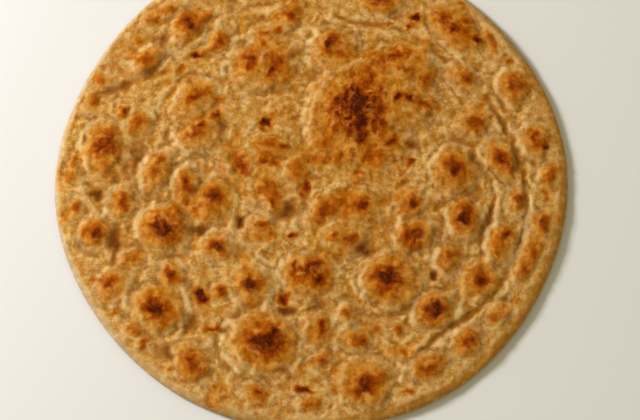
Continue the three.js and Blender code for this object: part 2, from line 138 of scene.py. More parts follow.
# Browned spots: middle x, middle y, half length, half width, turn in degrees, how far browned.
# At 1 a spot is charred.
SPOTS = [
    # the great bubble: one broad browning, dark streaks near its middle, loose patches round it
    (20, 31, 19.6, 16.4, 78, 0.6), (38, 43, 6, 4.6, 0, 0.34), (21, 27, 7, 3.8, 95, 0.97),
    (20.5, 34, 10, 4.4, 82, 1), (22.5, 19.5, 5.4, 3.8, 100, 1.04), (16.5, 22, 4.6, 2.4, 62, 0.8),
    (12, 36.5, 5.6, 2.8, 38, 0.8), (8, 32.5, 4.6, 2.2, 34, 0.7), (12.5, 28, 5, 2, 32, 0.5),
    (15, 43, 4.4, 2, 52, 0.58), (25, 46, 5.4, 2.4, 62, 0.72), (29.5, 42, 4.4, 2.2, 62, 0.7),
    (30, 33, 8, 3.6, 80, 0.7), (31, 24, 6, 3.2, 70, 0.64), (33, 15.5, 7, 3.4, 12, 0.7),
    (26, 10.5, 9, 4.4, 5, 0.5), (13, 10, 6, 4, 15, 0.46), (36, 56, 10, 6, 24, 0.6),
    (43, 55, 8, 6, -40, 0.38), (41, 50.5, 4.4, 2.4, -50, 0.58), (27, 52, 7, 3.6, 32, 0.6),
    (50.5, 45.5, 5.4, 4, 60, 0.62), (50, 33, 8, 3.2, -15, 0.52), (37.8, 36.4, 3.2, 2, 30, 1.06),
    (43, 37, 3.2, 2, 20, 0.96), (43, 8.3, 2.4, 1.8, 0, 0.94), (36.5, 19, 2.2, 1.6, 40, 0.6),
    # far left
    (-54, 71, 7, 5.4, 60, 0.62), (-53, 70, 3.4, 2.8, 60, 1), (-72.5, 53.5, 5.6, 3.4, 50, 0.54),
    (-70, 72.5, 3.5, 2.6, 40, 0.22), (-77, 64, 4.5, 2.6, 90, 0.38), (-62, 79, 4.6, 2.8, 40, 0.3),
    (-91, 46, 3.6, 3.4, 60, 0.5), (-95.5, 36, 5.5, 2.8, 62, 0.24), (-50, 57, 2.8, 2.4, 0, 1.3),
    (-57, 51, 3.4, 2, 20, 0.5), (-41, 63, 4.8, 3.6, 40, 0.5), (-47, 75, 4.6, 3, 40, 0.45),
    (-49.5, 39, 8, 3.6, 42, 0.62), (-50, 22, 6, 5, 60, 0.48), (-47.5, 25, 2.4, 1.8, 60, 0.88),
    (-42, 30, 3.2, 3, 0, 0.8), (-40, 36, 2.6, 2.2, 0, 0.6), (-82, 31, 3.2, 2.6, 80, 0.62),
    (-75, 25, 6.4, 4.6, 88, 0.48), (-90, 15, 9, 7, 78, 0.74), (-87, 14, 11, 7, 78, 0.26),
    (-89, 16, 4, 3, 60, 0.66),
    # left
    (-65, 9.5, 2.8, 2.6, 0, 0.6), (-67, 3, 4.2, 3.6, 80, 0.48), (-66.5, 4, 9, 4.8, 70, 0.26),
    (-54, -1, 5.4, 3.5, 85, 0.82), (-42, -7, 5.6, 5.2, 0, 0.78), (-42, -9, 8, 7, 0, 0.45),
    (-82, -9.5, 4.4, 3.6, 75, 0.8), (-64, -21, 8.8, 7.4, 0, 0.75),
    (-64.5, -20.5, 6.2, 4.8, -20, 0.7), (-92.5, -23, 5.4, 5, 90, 0.8), (-92, -24, 3.6, 3, 0, 1.2),
    (-101.5, -11.5, 3, 2.6, 90, 0.56), (-103, 3, 3.8, 2.8, 90, 0.42), (-102, 9, 3, 2.4, 90, 0.75),
    (-40, -29, 4.2, 3.6, 90, 0.98), (-41, -30, 6.2, 5.6, 90, 0.3),
    (-77.5, -35, 3.2, 2.8, 0, 0.36),
    # near left
    (-65, -56, 8.4, 7.2, -60, 0.82), (-67, -56.5, 5.4, 3.4, -55, 0.98),
    (-85, -45.5, 4.4, 3.6, 60, 0.78), (-93, -44, 2.5, 2.2, 60, 0.46),
    (-59, -41, 4.2, 3.6, 0, 0.82), (-61.5, -38.5, 2.4, 2, 0, 0.8),
    (-50, -80.5, 7, 5.6, -55, 0.58), (-51, -78.5, 2.4, 1.8, 0, 0.84),
    (-76, -65.5, 4.2, 2.6, -42, 0.42), (-70.5, -71, 3.2, 2, 90, 0.62),
    (-87, -52, 2.4, 1.8, 60, 0.42), (-84, -58, 2.4, 1.8, 60, 0.42), (-40, -90, 3.2, 2.4, 0, 0.42),
    (-38.5, -48, 3.2, 2.5, 20, 0.74), (-47, -50, 4, 3.2, -32, 1.4),
    (-39, -64.5, 2.6, 2.4, 0, 0.72), (-43, -65, 3.4, 2, 20, 0.84),
    (-25.5, -45.5, 5.2, 4.6, 0, 0.9), (-25, -46, 8, 7, -60, 0.3), (-25, -53, 5, 3.4, 90, 0.38),
    (-20, -71, 11, 9.4, 0, 0.82), (-18.5, -70.5, 6.2, 5.8, 90, 0.98),
    (-22.5, -93, 4.8, 3.6, -20, 0.76),
    # near middle
    (-12, -51.5, 3, 2.4, -70, 1.15), (-1, -41, 9, 7, -10, 0.62), (-7, -38, 5.6, 2, 88, 0.86),
    (4, -43, 3.4, 2.8, 60, 0.93), (-2, -41.5, 4, 1.8, 84, 0.76), (15, -58, 3.2, 2.8, 70, 0.62),
    (4.5, -65, 4.2, 3, 90, 0.84), (2, -68, 4, 3, 0, 0.45), (21, -69.5, 3.2, 2.6, 5, 0.72),
    (18, -69, 5.5, 3.5, 5, 0.32), (37, -65.5, 2.6, 2.1, -30, 0.76), (4, -78.5, 4.2, 2.4, 15, 0.7),
    (0, -97, 4.6, 2.8, 5, 0.48), (-3, -90, 4.2, 1.8, -25, 0.98), (23, -88, 7.4, 6.6, 15, 0.9),
    (33, -43, 9.2, 8.2, -20, 0.86), (32, -42, 4.6, 3.6, 60, 0.92),
    # near right
    (52.5, -57, 6.6, 5.6, 60, 0.98), (72, -44, 5.6, 5, 45, 0.76), (72, -44, 7.4, 6.6, 45, 0.42),
    (59.5, -34.5, 2.8, 2.4, 50, 0.7), (59, -35, 5.4, 4.4, 50, 0.42), (81, -56, 4, 2.6, 60, 0.56),
    (77, -60, 3, 2.4, 50, 0.44), (66, -70, 5.4, 4.6, 60, 0.66), (66, -71, 6.8, 6.2, 60, 0.36),
    (64.5, -70, 2, 1.6, 0, 0.8), (50, -81, 6.8, 3.8, 12, 0.54), (51, -81.5, 7.4, 5, 12, 0.3),
    (42, -91, 3, 2, 0, 0.5), (94, -32, 5.4, 4, 80, 0.42), (91, -39, 5, 3.6, 40, 0.48),
    (87, -52, 2.6, 1.6, 60, 0.5),
    # right
    (62, 5, 6.4, 5.8, 80, 0.68), (62, 4, 9.4, 8.4, 80, 0.28), (62, 3.5, 3.8, 2.4, 88, 0.98),
    (43.5, -9.5, 3.6, 3.3, 60, 0.84), (42, -10.5, 6, 5, 60, 0.32), (66, -16, 6, 5.2, 85, 0.8),
    (65, -18, 2.6, 2.2, 0, 1.25), (89.5, -9.5, 3.6, 3, 70, 0.88), (44, -24.5, 6, 5.2, 10, 0.86),
    (99.5, -19, 4.5, 3.5, 85, 0.76), (102.5, 3.5, 5, 3.4, 88, 0.38), (101, -5, 3, 2.4, 80, 0.3),
    (84, -25.5, 4, 3.2, 60, 0.82), (81, -28, 6.4, 5, 60, 0.36), (80, -32, 3, 2.2, 60, 0.52),
    (82.5, 9, 8.6, 4.2, -60, 0.74), (78.5, 17, 3, 2.4, 0, 0.25), (97, 20, 4, 2.8, 92, 0.76),
    (98, 17, 6, 4.4, 100, 0.45), (102, 14.5, 2.4, 2.2, 0, 1.05),
    # far right
    (63, 70, 13, 6.8, -44, 0.56), (62, 68, 2.6, 2.1, 0, 0.95), (58, 73, 3.4, 2.6, -30, 0.78),
    (72, 63, 3.2, 2.2, 92, 1.15), (78.5, 63, 5, 2.3, 102, 0.52), (86, 56, 2.6, 2, 0, 0.8),
    (89, 42, 7.8, 5.8, -60, 0.62), (67.5, 45.5, 4.8, 2.8, -68, 0.54), (65.5, 47, 6, 4, -55, 0.24),
    (72.5, 27.5, 4, 3.1, 0, 0.7), (70.5, 27, 6.6, 5.6, 0, 0.2), (42, 70, 2, 1.6, 0, 0.86),
    (45, 72.5, 2.6, 2, 0, 1.25), (34, 71, 2, 1.4, 0, 0.8), (49, 89, 5, 3.4, -35, 0.6),
    # far middle
    (-27, 54, 5.4, 4.8, 80, 0.76), (-16, 54, 7.6, 4.8, 68, 0.62), (-18, 50.5, 4, 1.6, 60, 0.92),
    (-11, 47, 8, 4.6, 20, 0.26), (-8.5, 74.5, 3.6, 3.2, 0, 0.76), (-14, 74.5, 5, 2.4, 10, 0.32),
    (-21.5, 62.5, 3.8, 2.8, 90, 0.5), (-20, 68, 3, 2.4, 0, 0.62), (-15, 67.5, 2.8, 2.2, 0, 0.42),
    (8.5, 61.5, 5.4, 3.8, 62, 0.84), (8, 60, 2.2, 1.7, 60, 1.3), (13, 58, 7, 6, 0, 0.38),
    (31, 83, 8.5, 4.6, 8, 0.7), (30, 84, 3, 2, 0, 0.9), (8, 92, 5, 3.4, 5, 0.7),
    (-16, 94, 4.4, 3, 15, 0.66), (-38, 88, 4.6, 3, 25, 0.55),
    # middle
    (-17, 11, 9, 6, 0, 0.3), (-17, -5, 9, 4.4, 105, 0.4), (-6, 3, 7, 5.4, 80, 0.34),
    (-3, -2, 4.6, 2.8, 80, 0.6), (-20, -25, 8, 5, 0, 0.36), (6, -13, 11, 6.5, 35, 0.26),
    (-31, 9, 6, 3, -50, 0.72), (-20, 26.5, 3.2, 2.6, 60, 1.5), (-19, 15.5, 6.6, 4.4, 10, 0.48),
    (-13, 14.5, 3.2, 1.8, 0, 0.74), (-20, 9, 4.8, 2, 10, 0.56), (-15, 8.5, 2.4, 2, 0, 0.7),
    (-6, 5, 6, 3.8, 85, 0.46), (-1.5, -2, 3.6, 2.4, 90, 1), (-4, -6, 2, 1.6, 0, 0.76),
    (-17, -10, 4, 2, -60, 0.62), (-20, -3, 5.4, 3.6, 0, 0.42), (6, -13, 7.6, 3.6, 35, 0.44),
    (14, -7, 3, 2.6, 0, 0.58), (22, -12, 4.3, 3.5, 0, 0.76), (17, -26, 3.4, 3, 0, 0.74),
    (10, -25, 3, 2.5, 0, 0.55), (-21, -20.5, 2.7, 2.3, 0, 0.62), (-9, -24.5, 2.2, 1.4, 20, 0.96),
]

# Folds where one layer of the coiled dough was rolled over the next: depth, then points along it.
CREASES = [
    (0.49, (76, 38), (84, 24), (91, 6), (92, -18), (84, -40), (71, -56), (54, -68), (41, -80)),
    (0.38, (70, 11), (75, 3), (78.5, -5), (77.5, -14), (74, -22), (72, -34)),
    (0.3, (10, 75), (26, 71.5), (40, 68.5), (52, 61), (59, 55)),
    (0.34, (-93, 39), (-85, 41.5), (-78, 45), (-70, 47.5), (-62, 49)),
    (0.3, (-57, 61), (-49, 67.5), (-43, 73.5), (-35, 77.5), (-26, 79.5), (-16, 82)),
    (0.22, (-46, 56), (-38, 64), (-30, 70), (-22, 74)),
    (0.3, (-67, 24), (-66, 32), (-63, 39), (-58, 45), (-52, 49)),
    (0.26, (-79, -39), (-75.5, -45), (-75.5, -52), (-77.5, -59)),
    (0.26, (-96, 27), (-101, 19), (-101, 9), (-97.5, 2), (-93, -4)),
    (0.26, (44, -55), (36, -58.5), (28, -59), (21, -58)),
    (0.26, (-37, -61), (-40, -69), (-38, -78), (-31, -85), (-22, -87)),
]

# Ridges where the skin stands up round the blisters, painted pale partly for their own skin and
# partly as painted highlight: strength, then points along each.
RIDGES = [
    # right
    (0.6, (98, 4), (95, -8), (92, -20), (90.5, -28), (86, -36), (84, -42), (82.5, -48)),
    (0.6, (79.5, -1), (80.5, -10), (78, -18), (75, -25), (74, -31), (77, -38)),
    (0.7, (64, -50), (63.5, -55), (62.5, -60)), (0.8, (54, -31), (51.5, -35.5), (57, -42)),
    (0.7, (64.5, -50), (65.5, -42), (70, -37.5)), (0.7, (60, -23), (58, -16), (61, -10)),
    (0.5, (84, -2), (82, -9), (83.5, -14)), (0.6, (51.5, -1), (51.5, 7), (55.5, 13)),
    (0.6, (81, 38), (80.5, 45), (85, 51)), (0.5, (75, 5), (73, 12), (75, 18)),
    (0.5, (91, 13), (89.5, 20), (93, 26)), (0.6, (62, -66), (59, -71), (58, -78)),
    (0.5, (58, -66), (55, -72)), (0.5, (56, -69), (48, -74), (41.5, -80), (38, -86)),
    (0.5, (44, -82), (41.5, -88)),
    # far left
    (0.6, (-79.5, 50), (-77.5, 57), (-71, 61.5)), (0.6, (-60.5, 65), (-61, 71), (-57, 76)),
    (0.6, (-62, 29), (-60, 38), (-54, 44.5)), (0.5, (-66.5, 31), (-65, 38), (-60, 43.5)),
    (0.6, (-60, 24), (-59, 17), (-54, 12.5)), (0.6, (-101, 15), (-99, 23), (-93, 29)),
    (0.5, (-81, 20), (-81.5, 26), (-77, 32)),
    (0.5, (-51, 62), (-44, 69), (-38, 74), (-30, 80)), (0.5, (-47, 60), (-46, 66), (-40, 69)),
    # left
    (0.6, (-88, -14), (-88, -8), (-84.5, -2)), (0.7, (-73.5, -3), (-74, 4), (-70, 13)),
    (0.7, (-61.5, -5), (-59, 3), (-53.5, 7.5)), (0.6, (-99.5, -25), (-97, -18), (-89, -15.5)),
    (0.6, (-98, 10), (-97, 2), (-99.5, -4)), (0.5, (-97, -8), (-92, -15)),
    (0.7, (-74.5, -24), (-74, -16), (-68, -10)), (0.5, (-50, -14), (-52, -7), (-49, -1)),
    (0.5, (-48, -32), (-47, -26), (-42, -21.5)), (0.5, (-40, 13), (-36, 19)),
    (0.5, (-27, -3), (-27.5, 6)),
    # near left
    (0.6, (-74.5, -49), (-74, -57), (-69.5, -65)), (0.5, (-79, -49), (-79, -59)),
    (0.6, (-54.5, -47), (-53, -53), (-52, -60)), (0.5, (-53, -62), (-57.5, -69)),
    (0.5, (-60, -70), (-57, -77), (-58, -85)),
    (0.7, (-32, -63), (-33.5, -70), (-31, -77), (-25, -83)),
    (0.7, (-36, -61), (-38, -68), (-36, -76), (-31, -83)), (0.6, (-16.5, -49), (-20.5, -57)),
    (0.5, (-33.5, -82), (-35, -88)), (0.5, (-93, -51), (-92, -44), (-87, -39)),
    (0.5, (-31, -55), (-35, -47), (-30, -38)),
    # near middle
    (0.7, (-5, -77), (-8, -83)), (0.6, (-2, -62), (-3, -68), (-5, -74)),
    (0.6, (14, -81), (12, -88), (13, -96)), (0.6, (9.5, -63), (11, -58), (15, -54)),
    (0.5, (10, -73), (11, -67), (15, -64)),
    (0.7, (23, -52), (21, -45), (24.5, -37), (31, -32)),
    (0.5, (19, -49), (18, -43), (21, -37)), (0.6, (44, -65), (43, -58), (45.5, -51)),
    (0.6, (-14, -48), (-14.5, -41), (-10, -34)), (0.5, (34.5, -73), (30, -69.5)),
    # middle
    (0.7, (-8, -20), (-3, -13), (3, -8), (9, -4)), (0.5, (4.5, -28), (5, -22), (9, -18.5)),
    (0.6, (-12.5, 2), (-11, 9)), (0.5, (-21, -29), (-14, -25)),
    (0.4, (-27, -32), (-20, -42)), (0.6, (37, -29), (35, -23), (38, -17)),
    # the great bubble and the far side
    (0.6, (-2.5, 23), (1.5, 35), (5, 42), (13, 49.7), (20.3, 53.7), (26.3, 57.7), (31, 62)),
    (0.4, (-4, 30), (0, 39), (5, 46), (12, 52)), (0.6, (-3, 25), (0.5, 17)),
    (0.6, (4, 20), (7, 10)), (0.5, (52, 14), (48, 10)), (0.5, (43, 27.5), (48, 30)),
    (0.5, (40, 17.5), (44, 21)), (0.5, (40.5, 38), (41.5, 42)),
    (0.7, (-39, 48), (-37, 56), (-31, 62)), (0.5, (-24, 52), (-21, 58)),
    (0.6, (-1, 52), (-2, 60), (3, 67)), (0.6, (-27, 75), (-18, 78), (-8, 81)),
    (0.5, (47, 73), (52, 66), (58, 62)),
]

# -------- how the marks shape the dough, in mm

EDGE_SHARE = 0.3  # of a blister's rise, taken by its edge
EDGE_WIDTH = 0.75  # over which the edge rises by half, to either side of its middle
EDGE_OUT = 0.2  # how far the edge's middle lies outside the blister's oval
MOST_STEPS_OUT = 12.0  # edge widths out, past which a blister adds nothing
MOAT_SHARE = 0.05  # of a blister's rise, by which the dough round its foot sinks
MOAT_OUT, MOAT_WIDTH = 2.2, 1.8
FAR_OFF = 30.0  # taken for the distance to a blister's foot before any is found
NO_SPOT = (9.0, 0.0, 0.0)  # the place within a spot, well outside it, before any is found
# Hollows and spots fade outwards: how steeply, and with what power of the reach.
HOLLOW_FADE, SPOT_FADE = (1.2, 2.4), (1.3, 1.9)
# Share of the weaker mark that is added to the stronger where two overlap.
BLISTER_OVERLAP, HOLLOW_OVERLAP, SPOT_OVERLAP = 0.35, 0.4, 0.15
# How marks and lines stray from smooth ones: size of the swings, then their width.
WIDE_STRAY, NARROW_STRAY = (11, 6.5), (4, 2.2)
SPOT_STRAY, LINE_STRAY = (2.6, 2.4), (5, 3)
# A fold is a groove with a lip beside it, and a ridge is a thin line of skin that stands up.
GROOVE_WIDTH = 1.4
LIP_OUT, LIP_WIDTH, LIP_SHARE = 2.8, 1.6, 0.7
RIDGE_WIDTH = 1.5
# An arc is a ridge that follows a blister's foot, with a furrow inside it.
ARC_OUT, ARC_WIDTH = 3.2, 1.1
FURROW_OUT, FURROW_WIDTH, FURROW_SHARE = 1.8, 1.0, 0.4
# What the dough's tree takes as inputs: the thickness, then how high each kind of relief stands.
HEIGHTS = {
    "Dough": DOUGH,
    "Swell height": 1.6,
    "Hollow depth": 0.7,
    "Ridge height": 0.55,
    "Wrinkle height": 0.4,
    "Arc height": 0.35,
    "Flake height": 0.2,
    "Pebble height": 0.5,
    "Hill height": 1.6,
    "Lump height": 0.9,
    "Grain height": 0.2,
}
# Steps of blurring that tell how far a place stands above the dough near it, and farther off.
NEAR_STEPS, FAR_STEPS = 10, 60
STREAK_LENGTH = 8.0
STREAK_WIDTH = 2.1
STREAK_CORE = 0.6  # share of a spot's reach in which its streaks don't draw together
UNDERSIDE_SEED = 7
UNDERSIDE_SPOTS = 95
UNDERSIDE_MARGIN = 8
UNDERSIDE_HALVES = [3, 4, 5, 6, 7, 9, 12]  # half lengths to draw from
FLOOR_WIDTH = 8  # metres


# -------- wiring node trees

def sum_node(operation):
    """A way to work out one wire with another value, as one kind of math node."""
    return lambda wire, other: wire.math(operation, other)


class Wire:
    """A value that changes over the bread, on its way through a node tree."""

    def __init__(self, tree, socket):
        self.tree = tree
        self.socket = socket

    def math(self, operation, *others):
        return out(add(self.tree, "ShaderNodeMath", [self, *others], operation=operation))

    __add__ = __radd__ = sum_node("ADD")
    __sub__ = sum_node("SUBTRACT")
    __mul__ = __rmul__ = sum_node("MULTIPLY")
    __truediv__ = sum_node("DIVIDE")
    __pow__ = sum_node("POWER")
    above = sum_node("MAXIMUM")
    below = sum_node("MINIMUM")

    def __neg__(self):
        return self * -1.0

    def __rsub__(self, other):
        return -self + other

    def bump(self, width):
        """1 where this is zero, falling off either side over the width."""
        share = self / width
        return (-(share * share)).math("EXPONENT")

    def ramp(self, start, end, high=1.0, low=0.0):
        """From low to high, smoothly, as this goes from start to end."""
        inputs = [self, start, end, low, high]
        return out(add(self.tree, "ShaderNodeMapRange", inputs, interpolation_type="SMOOTHSTEP"))

    def sway(self, size):
        """Noise of about 0 to 1, moved to both sides of 0 and made as large as the size."""
        return (self - 0.5) * size


def feed(tree, slot, value):
    """Joins a wire to a socket, or sets the socket to a plain value."""
    if isinstance(value, Wire):
        tree.links.new(value.socket, slot)
    else:
        slot.default_value = value


def add(tree, kind, inputs=(), **settings):
    """Adds a node with its settings made and its inputs fed, by name or by place."""
    node = tree.nodes.new(kind)
    for name, value in settings.items():
        setattr(node, name, value)
    pairs = inputs.items() if isinstance(inputs, dict) else enumerate(inputs)
    for name, value in pairs:
        feed(tree, node.inputs[name], value)
    return node


def out(node, name=0):
    return Wire(node.id_data, node.outputs[name])


def vector(tree, x, y, z=0.0):
    return out(add(tree, "ShaderNodeCombineXYZ", [x, y, z]))


def parts(wire):
    split = add(wire.tree, "ShaderNodeSeparateXYZ", [wire])
    return [out(split, axis) for axis in "XYZ"]


def shift(wire, other, operation="ADD"):
    return out(add(wire.tree, "ShaderNodeVectorMath", [wire, other], operation=operation))


def scaled(wire, factor):
    inputs = {"Vector": wire, "Scale": factor}
    return out(add(wire.tree, "ShaderNodeVectorMath", inputs, operation="SCALE"))


def noise(where, size, detail=2.0, rough=0.5, name="Fac", distortion=0.0):
    """Noise of about 0 to 1 with swells of one size, or a vector of it with the name "Color"."""
    inputs = {"Vector": where, "Scale": 1 / size, "Detail": detail, "Roughness": rough}
    inputs["Distortion"] = distortion
    return out(add(where.tree, "ShaderNodeTexNoise", inputs), name)


def mixed(share, first, second, kind="Color", blend="MIX"):
    """The first colour or vector where the share is 0, and the second where it is 1."""
    data_type = {"Color": "RGBA", "Vector": "VECTOR"}[kind]
    node = add(share.tree, "ShaderNodeMix", data_type=data_type, blend_type=blend)
    slots = {slot.identifier: slot for slot in node.inputs}
    for name, value in {"Factor_Float": share, "A_" + kind: first, "B_" + kind: second}.items():
        feed(share.tree, slots[name], value)
    results = {slot.identifier: slot for slot in node.outputs}
    return Wire(share.tree, results["Result_" + kind])


def coated(base, *coats):
    """A colour with coats laid over it in turn, each given as its share and its colour."""
    for share, shade in coats:
        base = mixed(share, base, shade)
    return base


def new_tree(name, inputs, outputs):
    """A geometry tree, its inputs as wires and its output node, from the labels' socket types."""
    tree = bpy.data.node_groups.new(name, "GeometryNodeTree")
    for way, sockets in (("INPUT", inputs), ("OUTPUT", outputs)):
        for label, kind in sockets.items():
            tree.interface.new_socket(label, in_out=way, socket_type="NodeSocket" + kind)
    source = tree.nodes.new("NodeGroupInput")
    wires = {label: Wire(tree, source.outputs[label]) for label in inputs}
    return tree, wires, tree.nodes.new("NodeGroupOutput")


# -------- the rolled disc, before it rises

def new_object(name, data):
    made = bpy.data.objects.new(name, data)
    bpy.context.scene.collection.objects.link(made)
    return made


def keep_values(mesh, label, values):
    """Keeps one number for each point of a mesh."""
    mesh.attributes.new(label, "FLOAT", "POINT").data.foreach_set("value", values)


def edge_radius(angle):
    oval = 1 / math.hypot(math.cos(angle) / (WIDTH / 2), math.sin(angle) / (DEPTH / 2))
    return oval + sum(stray * math.cos(times * angle + phase) for stray, times, phase in WAVERS)


def rim_rounding(angle):
    return RIM_ROUND + RIM_ROUND_MORE * math.cos(angle - RIM_SLOPE_AT)


def disc_rings():
    """Rings of points (x, y, z, lift): lift is the share of the top's rise that a point takes."""

    def ring(count, radius_at, z, lift):
        angles = [TURN * i / count for i in range(count)]
        return [(radius_at(a) * math.cos(a), radius_at(a) * math.sin(a), z, lift) for a in angles]

    edge_count = RING_STEP * TOP_RINGS
    rings = [[(0.0, 0.0, RIM_WIDEST, 1.0)]]
    for i in range(1, TOP_RINGS + 1):
        share = i / TOP_RINGS
        inside = lambda a: share * (edge_radius(a) - rim_rounding(a))
        rings.append(ring(RING_STEP * i, inside, RIM_WIDEST, 1.0))
    for i in range(1, RIM_ROWS + 1):
        lean = TURN / 4 * i / RIM_ROWS
        over_rim = lambda a: edge_radius(a) - rim_rounding(a) * (1 - math.sin(lean))
        rings.append(ring(edge_count, over_rim, RIM_WIDEST, math.cos(lean)))
    for i in range(1, UNDER_ROWS + 1):
        lean = TURN / 4 * i / UNDER_ROWS
        under_rim = lambda a: edge_radius(a) - RIM_UNDER * (1 - math.cos(lean))
        rings.append(ring(edge_count, under_rim, RIM_WIDEST * (1 - math.sin(lean)), 0.0))
    for i in range(UNDERSIDE_RINGS, 0, -1):
        share = i / (UNDERSIDE_RINGS + 1)
        beneath = lambda a: share * (edge_radius(a) - RIM_UNDER)
        rings.append(ring(RING_STEP * i, beneath, 0.0, 0.0))
    rings.append([(0.0, 0.0, 0.0, 0.0)])
    return rings


def zip_rings(inner, outer, faces):
    """Triangles between two rings, each given as where it starts and its number of points."""
    (inner_start, inner_count), (outer_start, outer_count) = inner, outer
    i = j = 0
    while i < inner_count or j < outer_count:
        steps_in = i < inner_count and (i + 1) * outer_count <= (j + 1) * inner_count
        a = inner_start + i % inner_count
        b = outer_start + j % outer_count
        if steps_in:
            i += 1
            c = inner_start + i % inner_count
        else:
            j += 1
            c = outer_start + j % outer_count
        if len({a, b, c}) == 3:
            faces.append((a, b, c))


def rolled_disc():
    rings = disc_rings()
    points = [point for ring in rings for point in ring]
    starts = [sum(len(ring) for ring in rings[:i]) for i in range(len(rings))]
    spans = [(start, len(ring)) for start, ring in zip(starts, rings)]
    faces = []
    for inner, outer in zip(spans, spans[1:]):
        zip_rings(inner, outer, faces)
    mesh = bpy.data.meshes.new("rolled_disc")
    mesh.from_pydata([point[:3] for point in points], [], faces)
    keep_values(mesh, "lift", [point[3] for point in points])
    keep_values(mesh, "under", [float(point[2] < RIM_WIDEST) for point in points])
    return new_object("rolled_disc", mesh)


# -------- tables and lines that the trees read

def underside_spots():
    """Spots where the underside pressed on the griddle, spread evenly and moved by chance."""
    draw = random.Random(UNDERSIDE_SEED)
    golden_turn = math.pi * (3 - math.sqrt(5))
    spots = []
    for i in range(UNDERSIDE_SPOTS):
        reach = math.sqrt((i + 0.5) / UNDERSIDE_SPOTS) * (DEPTH / 2 - UNDERSIDE_MARGIN)
        angle = i * golden_turn + draw.uniform(-0.12, 0.12)
        reach += draw.uniform(-4, 4)
        half = draw.choice(UNDERSIDE_HALVES)
        browning = draw.uniform(0.45, 0.75) + half * 0.02
        x, y = reach * math.cos(angle), reach * math.sin(angle)
        spots.append((x, y, half, half * draw.uniform(0.6, 0.95), draw.uniform(0, 180), browning))
    return spots


def marks_object(name, rows, under_rows=()):
    """One point for each row: its place is the middle, and attributes hold the rest."""
    rows = [(*row, 0.0) for row in rows] + [(*row, 1.0) for row in under_rows]
    mesh = bpy.data.meshes.new(name)
    mesh.from_pydata([(x, y, 0) for x, y, *_ in rows], [], [])
    _, _, half_lengths, half_widths, turns, strengths, sides = zip(*rows)
    keep_values(mesh, "half_length", half_lengths)
    keep_values(mesh, "half_width", half_widths)
    keep_values(mesh, "turn", [math.radians(turn) for turn in turns])
    keep_values(mesh, "strength", strengths)
    keep_values(mesh, "under", sides)
    return new_object(name, mesh)


def lines_object(name, rows):
    """A smooth line for each row. Its radius holds the row's depth or height."""
    curve = bpy.data.curves.new(name, "CURVE")
    curve.dimensions = "3D"
    for strength, *path in rows:
        spline = curve.splines.new("BEZIER")
        spline.bezier_points.add(len(path) - 1)
        for knot, (x, y) in zip(spline.bezier_points, path):
            knot.co = (x, y, 0)
            knot.handle_left_type = knot.handle_right_type = "AUTO"
            knot.radius = strength
    return new_object(name, curve)


# -------- Geometry Nodes: how the dough rose

VECTOR = "FLOAT_VECTOR"


def named(tree, name, kind="FLOAT"):
    return out(add(tree, "GeometryNodeInputNamedAttribute", {"Name": name}, data_type=kind))


def stored(geometry, name, value, kind="FLOAT"):
    """The geometry with a value kept at each of its points under a name."""
    inputs = {"Geometry": geometry, "Name": name, "Value": value}
    return out(add(geometry.tree, "GeometryNodeStoreNamedAttribute", inputs, data_type=kind))


def sampled(geometry, value, number, kind="FLOAT"):
    """A value as it is at one numbered point of a geometry."""
    inputs = {"Geometry": geometry, "Value": value, "Index": number}
    return out(add(geometry.tree, "GeometryNodeSampleIndex", inputs, data_type=kind))


def mark_reach_group():
    """How a point lies to one oval mark: its reach, 1 on the oval, and where along and across."""
    measures = ("Reach", "Along", "Across", "Size", "Strength", "Under")
    tree, wires, result = new_tree(
        "Reach of one mark",
        {"Marks": "Geometry", "Number": "Int", "Place": "Vector"},
        dict.fromkeys(measures, "Float"),
    )

    def of_mark(label):
        return sampled(wires["Marks"], named(tree, label), wires["Number"])

    position = out(add(tree, "GeometryNodeInputPosition"))
    middle = sampled(wires["Marks"], position, wires["Number"], VECTOR)
    half_length, half_width, turn = map(of_mark, ("half_length", "half_width", "turn"))
    x, y, _ = parts(shift(wires["Place"], middle, "SUBTRACT"))
    cosine, sine = turn.math("COSINE"), turn.math("SINE")
    along = (x * cosine + y * sine) / half_length
    across = (y * cosine - x * sine) / half_width
    reach = (along * along + across * across).math("SQRT")
    size = (half_length * half_width).math("SQRT")
    values = (reach, along, across, size, of_mark("strength"), of_mark("under"))
    for label, wire in zip(measures, values):
        feed(tree, result.inputs[label], wire)


def over_all_marks(geometry, marks, count, step):
    """Runs one step for each mark in turn, each on the geometry that the last one left."""
    tree = geometry.tree
    first = tree.nodes.new("GeometryNodeRepeatInput")
    last = tree.nodes.new("GeometryNodeRepeatOutput")
    first.pair_with_output(last)
    feed(tree, first.inputs["Iterations"], count)
    feed(tree, first.inputs["Geometry"], geometry)
    place = named(tree, "strayed", VECTOR)
    reach_inputs = {"Marks": marks, "Number": out(first, "Iteration"), "Place": place}
    reach_group = bpy.data.node_groups["Reach of one mark"]
    reach = add(tree, "GeometryNodeGroup", reach_inputs, node_tree=reach_group)
    mark = {slot.name: out(reach, slot.name) for slot in reach.outputs}
    feed(tree, last.inputs["Geometry"], step(out(first, "Geometry"), mark))
    return out(last, "Geometry")


def spot_streaks(spot):
    """Ragged streaks in a spot's crust, 0 to 1, that run out from its middle."""
    along, across, size = parts(spot)
    reach = (along * along + across * across).math("SQRT")
    apart = size / STREAK_WIDTH * (reach + STREAK_CORE) ** -1.0
    own = size * 7.3  # sets one spot's streaks apart from the next one's
    place = vector(spot.tree, along * apart + own, across * apart, reach * size / STREAK_LENGTH)
    return noise(place, 1.0, 1.5, 0.5, distortion=0.2).ramp(0.28, 0.72)


def larger_with_share(old, new, share):
    """The larger of two values, with a share of the smaller added."""
    return old.above(new) + share * old.below(new)


def faded(mark, steepness, power):
    """A mark's strength, full at its middle and fading away past its oval."""
    return mark["Strength"] * (-steepness * mark["Reach"] ** power).math("EXPONENT")


